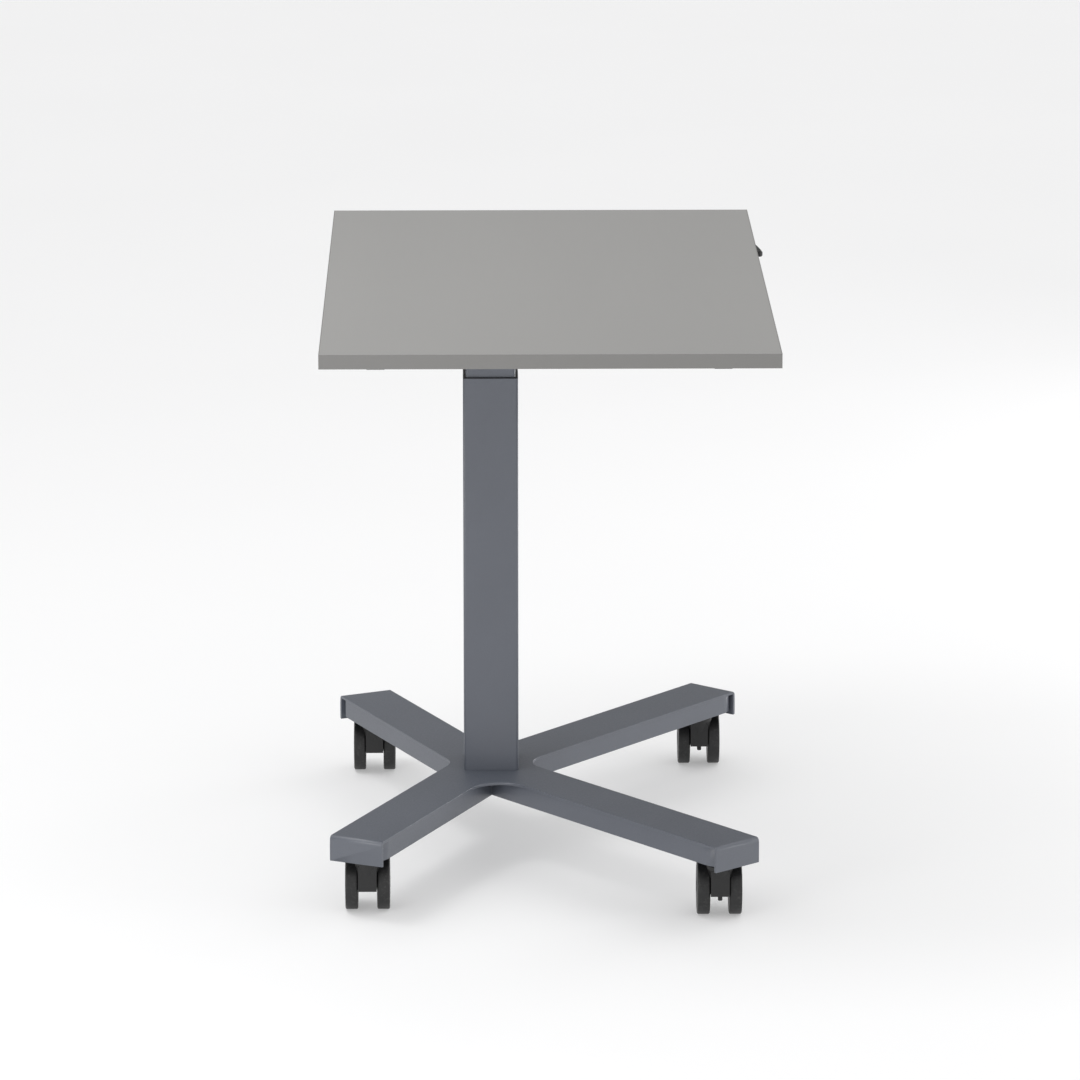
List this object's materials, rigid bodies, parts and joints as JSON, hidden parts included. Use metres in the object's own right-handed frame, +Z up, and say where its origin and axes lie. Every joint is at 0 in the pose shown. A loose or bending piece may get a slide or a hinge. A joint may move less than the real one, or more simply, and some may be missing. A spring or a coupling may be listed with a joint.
{
  "type": "height adjustable standing desk",
  "caption": "Mobile sit-stand desk: rectangular worktop on an off-centre telescopic gas-spring column, splayed flat-steel base, twin-wheel casters and a squeeze paddle.",
  "frame": {"origin": "on the floor, at the middle of the desk's plan outline, with the lift at the height that the picture shows", "axes": "+X towards the edge where the user stands, +Y to that user's right-hand side, +Z up"},
  "size_m": [0.615, 1, 0.805],
  "materials": {
    "top_panel": "grey melamine laminate, fine matt texture",
    "edge_band": "matching grey edging",
    "frame_coating": "blue-grey satin powder coat",
    "underframe_coating": "blue-grey satin powder coat",
    "zinc_steel": "zinc plated",
    "black_plastic": "moulded black plastic, fine grain",
    "guide_plastic": "natural white acetal",
    "gas_spring_black": "gloss black",
    "polished_rod": "ground and polished",
    "seal_rubber": "moulded rubber",
    "caster_plastic": "moulded black nylon",
    "wheel_plastic": "hard black nylon, satin",
    "brake_plastic": "moulded black nylon"
  },
  "bodies": {
    "base": {"outer_tube": "frame_coating", "guide_collar": "black_plastic", "column_foot": "underframe_coating", "foot_bolts": "zinc_steel", "base_plate": "frame_coating", "skirt_back": "frame_coating", "skirt_user": "frame_coating", "skirt_left": "frame_coating", "skirt_right": "frame_coating", "gas_spring_cylinder": "gas_spring_black", "gas_spring_nut": "zinc_steel", "caster_bosses": "frame_coating", "caster_stem_front_left": "zinc_steel", "caster_stem_rear_left": "zinc_steel", "caster_stem_rear_right": "zinc_steel", "caster_stem_front_right": "zinc_steel"},
    "top": {"worktop_panel": "top_panel", "edge_band_back": "edge_band", "edge_band_user": "edge_band", "edge_band_left": "edge_band", "edge_band_right": "edge_band", "rail_left": "underframe_coating", "rail_right": "underframe_coating", "rail_end_caps": "black_plastic", "rail_screws": "zinc_steel", "cross_beam_left": "underframe_coating", "cross_beam_right": "underframe_coating", "head_plate": "underframe_coating", "head_bolts": "zinc_steel", "inner_tube": "frame_coating", "inner_glides": "guide_plastic", "gas_spring_rod": "polished_rod", "gas_spring_piston": "seal_rubber", "release_head": "zinc_steel", "lever_housing": "black_plastic", "lever_pin": "zinc_steel", "lever_spring": "zinc_steel", "housing_screws": "zinc_steel"},
    "paddle": {"release_paddle": "black_plastic"},
    "rocker": {"release_rocker": "zinc_steel"},
    "valve": {"valve_pin": "zinc_steel"},
    "caster_front_left": {"caster_body_front_left": "caster_plastic", "axle_front_left": "zinc_steel"},
    "wheel_front_left_a": {"wheel_front_left_a": "wheel_plastic"},
    "wheel_front_left_b": {"wheel_front_left_b": "wheel_plastic"},
    "caster_rear_left": {"caster_body_rear_left": "caster_plastic", "axle_rear_left": "zinc_steel"},
    "wheel_rear_left_a": {"wheel_rear_left_a": "wheel_plastic"},
    "wheel_rear_left_b": {"wheel_rear_left_b": "wheel_plastic"},
    "caster_rear_right": {"caster_body_rear_right": "caster_plastic", "axle_rear_right": "zinc_steel"},
    "wheel_rear_right_a": {"wheel_rear_right_a": "wheel_plastic"},
    "wheel_rear_right_b": {"wheel_rear_right_b": "wheel_plastic"},
    "brake_rear_right": {"brake_pedal_rear_right": "brake_plastic"},
    "caster_front_right": {"caster_body_front_right": "caster_plastic", "axle_front_right": "zinc_steel"},
    "wheel_front_right_a": {"wheel_front_right_a": "wheel_plastic"},
    "wheel_front_right_b": {"wheel_front_right_b": "wheel_plastic"},
    "brake_front_right": {"brake_pedal_front_right": "brake_plastic"}
  },
  "joints": [
    {"name": "column_lift", "type": "slide", "parent": "base", "child": "top", "axis": [0, 0, 1], "range_m": [-0.084, 0.316]},
    {"name": "paddle_squeeze", "type": "hinge", "parent": "top", "child": "paddle", "pos_m": [0.2645, 0.377, 0.773], "axis": [0, -1, 0], "range_deg": [0, 9], "stiffness_Nm_per_rad": 3, "springref_deg": -5.73},
    {"name": "rocker_turn", "type": "hinge", "parent": "top", "child": "rocker", "pos_m": [-0.0712, 0, 0.779], "axis": [0, -1, 0], "range_deg": [0, 9.5]},
    {"name": "valve_press", "type": "slide", "parent": "top", "child": "valve", "axis": [0, 0, -1], "range_m": [0, 0.002]},
    {"name": "swivel_front_left", "type": "hinge", "parent": "base", "child": "caster_front_left", "pos_m": [-0.25162, -0.34062, 0.08], "axis": [0, 0, 1], "continuous": true},
    {"name": "roll_front_left_a", "type": "hinge", "parent": "caster_front_left", "child": "wheel_front_left_a", "pos_m": [-0.27312, -0.31261, 0.0375], "axis": [1, 0, 0], "continuous": true},
    {"name": "roll_front_left_b", "type": "hinge", "parent": "caster_front_left", "child": "wheel_front_left_b", "pos_m": [-0.23012, -0.31261, 0.0375], "axis": [1, 0, 0], "continuous": true},
    {"name": "swivel_rear_left", "type": "hinge", "parent": "base", "child": "caster_rear_left", "pos_m": [-0.25162, 0.34062, 0.08], "axis": [0, 0, 1], "continuous": true},
    {"name": "roll_rear_left_a", "type": "hinge", "parent": "caster_rear_left", "child": "wheel_rear_left_a", "pos_m": [-0.27312, 0.36862, 0.0375], "axis": [1, 0, 0], "continuous": true},
    {"name": "roll_rear_left_b", "type": "hinge", "parent": "caster_rear_left", "child": "wheel_rear_left_b", "pos_m": [-0.23012, 0.36862, 0.0375], "axis": [1, 0, 0], "continuous": true},
    {"name": "swivel_rear_right", "type": "hinge", "parent": "base", "child": "caster_rear_right", "pos_m": [0.22243, 0.369, 0.08], "axis": [0, 0, 1], "continuous": true},
    {"name": "roll_rear_right_a", "type": "hinge", "parent": "caster_rear_right", "child": "wheel_rear_right_a", "pos_m": [0.20092, 0.397, 0.0375], "axis": [1, 0, 0], "continuous": true},
    {"name": "roll_rear_right_b", "type": "hinge", "parent": "caster_rear_right", "child": "wheel_rear_right_b", "pos_m": [0.24393, 0.397, 0.0375], "axis": [1, 0, 0], "continuous": true},
    {"name": "brake_rear_right", "type": "hinge", "parent": "caster_rear_right", "child": "brake_rear_right", "pos_m": [0.22243, 0.364, 0.0395], "axis": [-1, 0, 0], "range_deg": [0, 6]},
    {"name": "swivel_front_right", "type": "hinge", "parent": "base", "child": "caster_front_right", "pos_m": [0.22243, -0.369, 0.08], "axis": [0, 0, 1], "continuous": true},
    {"name": "roll_front_right_a", "type": "hinge", "parent": "caster_front_right", "child": "wheel_front_right_a", "pos_m": [0.20092, -0.341, 0.0375], "axis": [1, 0, 0], "continuous": true},
    {"name": "roll_front_right_b", "type": "hinge", "parent": "caster_front_right", "child": "wheel_front_right_b", "pos_m": [0.24393, -0.341, 0.0375], "axis": [1, 0, 0], "continuous": true},
    {"name": "brake_front_right", "type": "hinge", "parent": "caster_front_right", "child": "brake_front_right", "pos_m": [0.22243, -0.374, 0.0395], "axis": [-1, 0, 0], "range_deg": [0, 6]}
  ],
  "couplings": [
    {"joint": "rocker_turn", "follows": "paddle_squeeze", "ratio": 1.05},
    {"joint": "valve_press", "follows": "paddle_squeeze", "m_per_rad": 0.0126}
  ]
}
